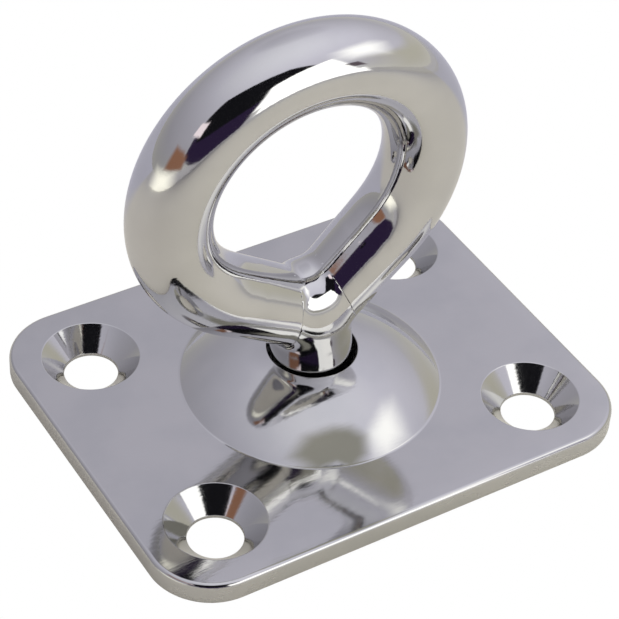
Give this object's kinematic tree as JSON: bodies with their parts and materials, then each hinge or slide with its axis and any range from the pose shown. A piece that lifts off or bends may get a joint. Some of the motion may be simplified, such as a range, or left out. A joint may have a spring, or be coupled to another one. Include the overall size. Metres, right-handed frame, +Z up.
{
  "type": "swivel pad eye",
  "caption": "Stainless swivel pad eye: round-cornered plate with a pressed dome and countersunk screw holes, and a round-bar ring that turns in the dome.",
  "frame": {"origin": "on the swivel axis, at the middle of the plate's underside", "axes": "+Z up out of the mounting surface along the swivel axis, X along the plate's long side"},
  "size_m": [0.05, 0.04, 0.0452],
  "materials": {
    "plate_steel": "mirror polished stainless steel",
    "ring_steel": "mirror polished stainless steel",
    "washer_steel": "plain rolled stainless steel, not polished"
  },
  "bodies": {
    "plate": {"base_plate": "plate_steel"},
    "eye": {"eye_ring": "ring_steel", "swivel_stud": "ring_steel", "retaining_washer": "washer_steel"}
  },
  "joints": [
    {"name": "ring_swivel", "type": "hinge", "parent": "plate", "child": "eye", "pos_m": [0, 0, 0.0054], "axis": [0, 0, 1], "continuous": true}
  ]
}
